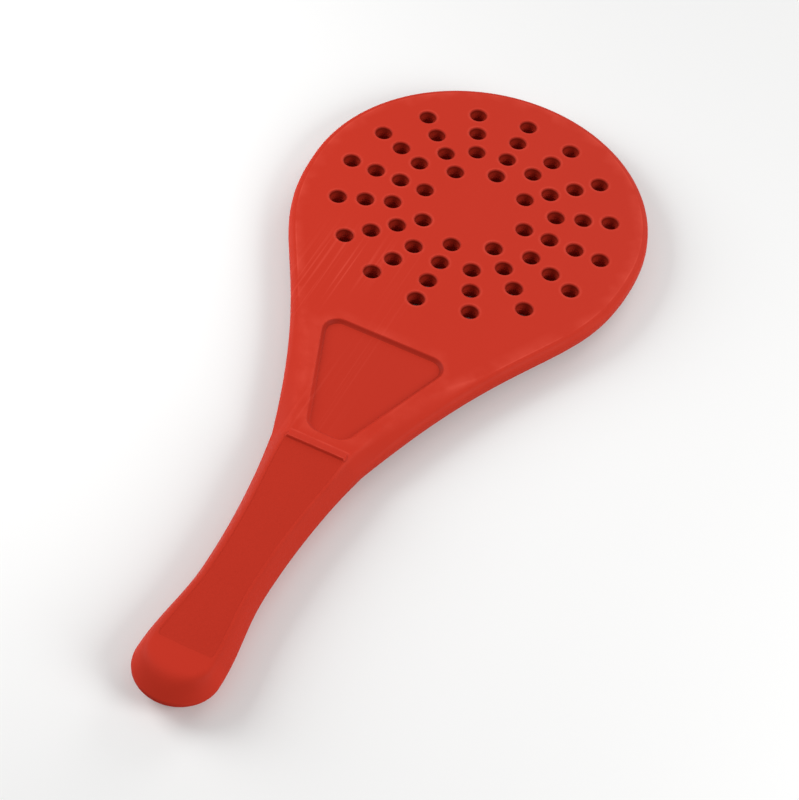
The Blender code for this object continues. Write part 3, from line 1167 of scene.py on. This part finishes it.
        # Painted shade: darkens the hole walls, the recess and the rib's drop.
        painted_shade_mask = bench.product(bench.attribute(MeshDraft.PAINTED_SHADE), finish.painted_shade)
        bench.feed(shader["Base Color"], bench.mix(painted_shade_mask, colour, finish.painted_shade_colour))
        half_spread = finish.roughness_spread / 2
        limits = {"To Min": finish.roughness - half_spread, "To Max": finish.roughness + half_spread}
        gloss = bench.node("ShaderNodeMapRange", {"Value": grain["Height"], **limits})
        bench.feed(shader["Roughness"], gloss.outputs["Result"])
        shader["Specular IOR Level"].default_value = finish.specular
        bump = bench.node("ShaderNodeBump", {"Height": height, "Distance": finish.bump_height})
        bench.feed(shader["Normal"], bump.outputs["Normal"])
        return material


@dataclass
class Moulding:
    """Piece that is drawn as it lies on the front, and mirrored for the back."""

    SKIN: ClassVar[str]
    NODE: ClassVar[str]
    SLOT: ClassVar[str]
    side: Side
    draft: MeshDraft = field(default_factory=MeshDraft, init=False)

    def dress(self, place: Vector, material: bpy.types.Material) -> None:
        """Makes the piece from its draft and sets it in the place of its CAD node.

        Args:
            place: Where the centre of the head goes.
            material: Its finish.
        """
        node = f"{self.side.word}_{self.NODE}"
        piece = self.draft.finished(f"{self.side.word}_{self.SKIN}", place, self.side)
        piece.data.materials.append(material)
        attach(piece, BODY)
        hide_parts(node)
        LOG.info("%s: %d vertices, in place of %s", piece.name, len(piece.data.vertices), node)


@dataclass
class HalfShell(Moulding):
    """One moulded half of the paddle: its face, flank and perforation down to the parting plane."""

    SKIN: ClassVar[str] = "shell_skin"
    NODE: ClassVar[str] = "shell"
    SLOT: ClassVar[str] = "shell_plastic"
    outline: Outline
    perforation: Perforation
    recess: Recess
    rib: ThumbRib
    grip: GripPlan
    pocket_depth: float = 0.0016
    pocket_gap: float = 0.00002
    pocket_draft: float = 0.00005
    seam_gap: float = 0.0001
    seam_radius: float = 0.00025
    seam_steps: int = 3
    # Pale seam, rim and crease lines: part wear, part painted highlight.
    seam_wear_and_highlight: float = 0.2
    rim_steps: int = 8
    rim_wear_and_highlight: float = 0.15
    shoulder_rounds: int = 12
    flank_steps: int = 10
    flank_crowding: float = 1.5
    worn_blends: float = 2.0
    support: float = 0.0003
    spacing: float = 0.005
    clearance: float = 0.45

    def _rim_rings(self, line: Stations, tilt: np.ndarray) -> list[list[int]]:
        """Draws the side of the rim, from the seam up to where the flank starts.

        Args:
            line: Stations of the parting line.
            tilt: Slope at which the flank starts, at each station.

        Returns:
            The rings.
        """
        floor = self.seam_gap / 2
        draft = self.outline.rim_draft
        rings = []
        for angle in np.linspace(0, math.pi / 2, self.seam_steps + 1):
            height = floor + self.seam_radius * (1 - math.cos(angle))
            plan = line.moved_in(self.seam_radius * (1 - math.sin(angle)))
            # Pale seam line: part wear, part painted highlight.
            rings.append(self.draft.add(plan, height, self.seam_wear_and_highlight * math.sin(2 * angle)))
        for i in range(self.rim_steps + 1):
            angle = math.pi / 2 + (tilt - math.pi / 2) * i / self.rim_steps
            height = line.rim_height + line.rim_radius * (np.cos(angle) - np.cos(tilt))
            plan = line.moved_in(draft + line.rim_radius * (1 - np.sin(angle)))
            # Pale line along the rim's rounding: part wear, part painted highlight.
            wear_and_highlight = self.rim_wear_and_highlight * math.sin(math.pi * i / self.rim_steps)
            rings.append(self.draft.add(plan, height, wear_and_highlight))
        return rings

    def _flank_rings(self, line: Stations, shoulder: np.ndarray) -> list[list[int]]:
        """Draws the flank above the rim, up to the face.

        Args:
            line: Stations of the parting line.
            shoulder: Inset at which the flank starts, at each station.

        Returns:
            The rings.
        """
        blend = line.blend
        width = line.face_inset - shoulder
        rings = []
        for share in np.linspace(1, 0, self.flank_steps + 1)[1:] ** self.flank_crowding:
            reach = (width + blend) * share - blend
            plan = line.moved_in(line.face_inset - reach)
            drop = line.fall_share(soft_ramp(reach, blend) / width)
            face = self.outline.face_height(plan[:, 1])
            # Painted highlight along the face's edge, strongest where the flank falls straight.
            near = 1 - np.clip(np.abs(reach) / (self.worn_blends * blend), 0, 1)
            height = face - (face - line.rim_height) * drop
            rings.append(self.draft.add(plan, height, line.crease**2 * near))
        return rings

    def _build_edge(self) -> tuple[list[int], list[int]]:
        """Draws the rim and the flank.

        Returns:
            The ring on the parting plane and the ring on the face.
        """
        line = self.outline.stations()
        fall = self.outline.face_height(line.points[:, 1]) - line.rim_height
        shoulder = line.rim_radius
        for _ in range(self.shoulder_rounds):
            tilt = np.arctan2(line.rim_slope * fall, line.face_inset - shoulder)
            shoulder = self.outline.rim_draft + line.rim_radius * (1 - np.sin(tilt))
        rings = self._rim_rings(line, tilt) + self._flank_rings(line, shoulder)
        self.draft.loft(rings)
        return rings[0], rings[-1]

    def _hole_profile(self) -> list[tuple[float, float, float, float]]:
        """Works out the rings of a hole, from the parting plane up to the face.

        Returns:
            Radius, height, wear and dust of each ring.
        """
        holes = self.perforation
        face = self.outline.blade_thickness / 2
        floor = self.seam_gap / 2
        narrow = holes.hole_radius - holes.draft
        wide = holes.hole_radius + holes.rim_radius
        profile = [
            (narrow + self.seam_radius, floor, 0.0, 0.0),
            (narrow, floor + self.seam_radius, 0.0, holes.deep_shade_paint),
        ]
        for i in range(holes.rim_steps + 1):
            share = i / holes.rim_steps
            angle = math.pi / 2 * (1 - share)
            radius = holes.hole_radius + holes.rim_radius * (1 - math.sin(angle))
            height = face - holes.rim_radius * (1 - math.cos(angle))
            # Painted shade fades up the rim; the rim and the ring round it are painted pale, part wear and
            # part highlight.
            profile.append((radius, height, holes.rim_wear_and_highlight * share**2, holes.dust * (1 - share)))
        profile.append((wide + self.support, face, holes.land_wear_and_highlight, 0.0))
        profile.append((wide + holes.halo, face, 0.0, 0.0))
        return profile

    def _build_holes(self) -> tuple[list[list[int]], list[list[int]]]:
        """Draws the walls and rims of the holes.

        Returns:
            The holes' rings on the parting plane and on the face.
        """
        profile = self._hole_profile()
        low_rings, high_rings = [], []
        for centre in self.perforation.centres():
            rings = []
            for radius, height, wear_and_highlight, dust in profile:
                rings.append(self.draft.add(self.perforation.circle(centre, radius), height, wear_and_highlight, dust))
            self.draft.loft(rings)
            low_rings.append(rings[0])
            high_rings.append(rings[-1])
        return low_rings, high_rings

    def _face_rings(self) -> list[list[int]]:
        """Draws the steps of the recess and of the grip's pocket.

        Returns:
            The rings of the steps.
        """
        rings = []
        for share in self.recess.steps():
            plan = self.recess.outline((0.5 - share) * self.recess.wall)
            height = self.outline.face_height(plan[:, 1]) - self.recess.depth * ease(share)
            # Pale lip (part wear, part painted highlight) and painted shade on the walls and floor of the
            # recess.
            wear_and_highlight = self.recess.lip_wear_and_highlight * ease(1 - share / self.recess.lip_share)
            painted_shade = self.recess.painted_shade_on(plan, share)
            rings.append(self.draft.add(plan, height, wear_and_highlight, painted_shade))
        foot = self.pocket_gap - self.pocket_draft
        for grow, depth in ((self.pocket_gap, 0), (foot, self.pocket_depth)):
            plan = self.grip.line(grow)
            rings.append(self.draft.add(plan, self.outline.face_height(plan[:, 1]) - depth))
        return rings

    def _rib_lines(self) -> list[list[int]]:
        """Draws the rows of the thumb rib.

        Returns:
            The rows.
        """
        x = self.rib.columns()
        lines = []
        for distance in self.rib.rows():
            plan = np.column_stack((x, np.full(len(x), -distance)))
            height = self.outline.face_height(plan[:, 1]) + self.rib.height(x, distance)
            # Painted shade on the rib's drop; pale foot and crest, part wear and part painted highlight.
            painted_shade = self.rib.dust * ease((distance - self.rib.crest) / self.rib.edge)
            lines.append(self.draft.add(plan, height, self.rib.worn(distance), painted_shade))
        return lines

    def _face_dots(self, outer: list[int], drawn: list[int]) -> list[int]:
        """Draws a triangular net over what is left of the face.

        Args:
            outer: Ring that bounds the face.
            drawn: Vertices that are already on the face.

        Returns:
            The net's vertices.
        """
        width = self.outline.head_radius
        plan = triangle_net((-width, -self.outline.end_distance), (width, width), self.spacing)
        plan = plan[inside(plan, self.draft.places(outer))]
        taken = self.draft.places(drawn)
        nearest = np.array([np.min(np.sum((taken - place) ** 2, axis=1)) for place in plan])
        plan = plan[nearest > (self.clearance * self.spacing) ** 2]
        plan = plan[~inside(plan, self.grip.line(0))]
        for centre in self.perforation.centres():
            plan = plan[np.linalg.norm(plan - centre, axis=1) > self.perforation.hole_radius]
        sunk = inside(plan, self.recess.outline(0))
        height = self.outline.face_height(plan[:, 1]) - self.recess.depth * sunk
        # Painted shade on the recess floor.
        return self.draft.add(plan, height, painted_shade=self.recess.dust * sunk)

    def build(self, place: Vector, material: bpy.types.Material) -> None:
        """Draws the half shell and dresses it.

        Args:
            place: Where the centre of the head goes.
            material: Its finish.
        """
        low_edge, high_edge = self._build_edge()
        low_holes, high_holes = self._build_holes()
        rings = self._face_rings()
        lines = self._rib_lines()
        drawn = high_edge + sum(high_holes + rings + lines, [])
        dots = self._face_dots(high_edge, drawn)
        self.draft.fill(high_edge, high_holes, rings, lines, dots)
        self.draft.fill(low_edge, low_holes)
        self.dress(place, material)


@dataclass
class GripPad(Moulding):
    """Pebbled pad that is let into the handle of one half."""

    SKIN: ClassVar[str] = "grip_skin"
    NODE: ClassVar[str] = "grip_pad"
    SLOT: ClassVar[str] = "grip_plastic"
    plan: GripPlan
    face: float
    sink: float = 0.00004
    thickness: float = 0.0014
    edge_radius: float = 0.00005
    edge_steps: int = 3
    # Pale pad edge: part wear, part painted highlight.
    edge_wear_and_highlight: float = 0.6
    pebble: float = 0.0012
    pebble_height: float = 0.00007
    pebble_edge: float = 0.55
    pebble_layer: float = 0.5
    spacing: float = 0.0005

    def _pebbles(self, plan: np.ndarray) -> np.ndarray:
        """Height of the pebbled grain.

        Args:
            plan: Places on the pad.

        Returns:
            Heights from 0 in the creases up.
        """
        heights = []
        for x, y in plan / self.pebble:
            near, far = noise.voronoi((x, y, self.pebble_layer))[0][:2]
            heights.append(ease((far - near) / self.pebble_edge))
        return self.pebble_height * np.array(heights)

    def build(self, place: Vector, material: bpy.types.Material) -> None:
        """Draws the pad and dresses it.

        Args:
            place: Where the centre of the head goes.
            material: Its finish.
        """
        top = self.face - self.sink
        outer = self.plan.line(0)
        middle = np.array((0, outer[:, 1].mean()))
        half_size = (outer.max(axis=0) - outer.min(axis=0)) / 2
        rings = [self.draft.add(outer, top - self.thickness)]
        for i in range(self.edge_steps + 1):
            angle = math.pi / 2 * i / self.edge_steps
            grow = -self.edge_radius * (1 - math.cos(angle))
            plan = middle + (outer - middle) * (1 + grow / half_size)
            height = top - self.edge_radius * (1 - math.sin(angle))
            rings.append(self.draft.add(plan, height, self.edge_wear_and_highlight * math.sin(2 * angle)))
        self.draft.loft(rings)
        net = triangle_net(outer.min(axis=0), outer.max(axis=0), self.spacing)
        net = net[inside(net, self.plan.line(-self.edge_radius - self.spacing))]
        dots = self.draft.add(net, top - self.pebble_height + self._pebbles(net))
        self.draft.fill(rings[-1], dots=dots)
        self.draft.fill(rings[0])
        self.dress(place, material)


@dataclass(frozen=True)
class Softbox:
    """Square area lamp: where it hangs, from the centre of the head, and how strong it is."""

    name: str
    place: tuple[float, float, float]
    size: float
    watts: float


@dataclass
class Studio:
    """Pale floor, soft light and the camera."""

    head: Vector
    face: float
    camera_place: tuple[float, float, float] = (0.219298, -0.681144, 0.725640)
    camera_aim: tuple[float, float, float] = (0.01919, -0.12266, 0.0)
    camera_roll: float = math.radians(7.603)
    lens: float = 96.12
    floor_size: float = 12.0
    floor_colour: Colour = (0.93, 0.93, 0.925, 1)
    floor_shade: float = 0.985
    floor_cloud_scale: float = 3
    floor_roughness: float = 0.9
    floor_specular: float = 0.1
    bounce_colour: Colour = (0.50, 0.49, 0.48, 1)
    sky_colour: Colour = (1.0, 1.0, 1.0, 1)
    sky_strength: float = 0.325
    softboxes: tuple[Softbox, ...] = (
        Softbox("left_softbox", (-0.58, -0.16, 0.34), 0.45, 3.7),
        Softbox("right_softbox", (0.78, -0.2, 0.46), 0.5, 4.9),
        Softbox("back_softbox", (0.15, 0.9, 0.42), 0.5, 2.8),
    )

    def _build_floor(self) -> None:
        """Lays the floor under the paddle."""
        mesh = bpy.data.meshes.new("studio_floor")
        bm = bmesh.new()
        bmesh.ops.create_grid(bm, x_segments=2, y_segments=2, size=self.floor_size / 2)
        bm.to_mesh(mesh)
        bm.free()
        floor = placed("studio_floor", mesh)
        material = bpy.data.materials.new("pale_floor")
        material.use_nodes = True
        bench = Bench(material.node_tree)
        shader = bench.tree.nodes["Principled BSDF"].inputs
        shader["Roughness"].default_value = self.floor_roughness
        shader["Specular IOR Level"].default_value = self.floor_specular
        clouds = bench.node("ShaderNodeTexNoise", {"Scale": self.floor_cloud_scale})
        shade = tuple(self.floor_shade * c for c in self.floor_colour[:3]) + (1,)
        tone = bench.mix(clouds.outputs["Fac"], self.floor_colour, shade)
        bench.feed(shader["Base Color"], bench.mix(self._seen(bench), self.bounce_colour, tone))
        mesh.materials.append(material)

    @staticmethod
    def _seen(bench: Bench) -> Socket:
        """Tells what is looked at, straight or in a reflection, from what only gives light.

        Args:
            bench: Bench of the stage's material.

        Returns:
            1 for what is looked at.
        """
        path = bench.node("ShaderNodeLightPath", {}).outputs
        seen = path["Is Camera Ray"]
        for name in ("Is Glossy Ray", "Is Transmission Ray"):
            seen = bench.math("MAXIMUM", seen, path[name])
        return seen

    def _build_sky(self) -> None:
        """Surrounds the paddle with even light."""
        world = bpy.data.worlds.new("studio_sky")
        world.use_nodes = True
        background = world.node_tree.nodes["Background"]
        background.inputs["Color"].default_value = self.sky_colour
        background.inputs["Strength"].default_value = self.sky_strength
        bpy.context.scene.world = world

    def _build_lamps(self) -> None:
        """Hangs the softboxes, each turned to the middle of the paddle."""
        aim = Vector((0, self.head.y / 2, self.head.z))
        for box in self.softboxes:
            lamp = bpy.data.lights.new(box.name, "AREA")
            lamp.size = box.size
            lamp.energy = box.watts
            obj = placed(box.name, lamp)
            obj.location = self.head + Vector(box.place)
            obj.rotation_euler = (aim - obj.location).to_track_quat("-Z", "Y").to_euler()

    def _build_camera(self) -> None:
        """Sets the camera at the photograph's viewing angle."""
        data = bpy.data.cameras.new("photo_camera")
        data.lens = self.lens
        camera = placed("photo_camera", data)
        blade = self.head + Vector((0, 0, self.face))
        camera.location = blade + Vector(self.camera_place)
        aim = blade + Vector(self.camera_aim)
        turn = (aim - camera.location).to_track_quat("-Z", "Y")
        roll = Euler((0, 0, self.camera_roll)).to_quaternion()
        camera.rotation_euler = (turn @ roll).to_euler()
        bpy.context.scene.camera = camera

    def build(self) -> None:
        """Builds the studio."""
        self._build_floor()
        self._build_sky()
        self._build_lamps()
        self._build_camera()
        bpy.context.scene.view_settings.view_transform = "Standard"
        LOG.info("studio: %d softboxes", len(self.softboxes))


def main() -> None:
    """Builds the shells, the grips and the studio."""
    logging.basicConfig(level=logging.INFO, format="%(name)s: %(message)s")
    low, high = CAD_BOX
    outline = Outline(head_radius=high.x)
    head = Vector((0, high.y - outline.head_radius, (low.z + high.z) / 2))
    grip = GripPlan(outline)
    rib = ThumbRib(outline.rib_foot, outline.rib_crest)
    maker = PlasticMaker()
    scuffs = ScuffPatch(head.y - SCUFF_DISTANCE)
    hand = HandZone(head.y - grip.end, head.y - outline.rib_crest, GRIP_FINISH.colour)
    shell_plastic = maker.make(SHELL_FINISH, scuffs, hand)
    grip_plastic = maker.make(GRIP_FINISH)
    for side in Side:
        holes = Perforation(HOLE_SHADE_PAINT[side])
        HalfShell(side, outline, holes, Recess(), rib, grip).build(head, shell_plastic)
        GripPad(side, grip, outline.handle_thickness / 2).build(head, grip_plastic)
    Studio(head, outline.blade_thickness / 2).build()


if __name__ == "__main__":
    main()
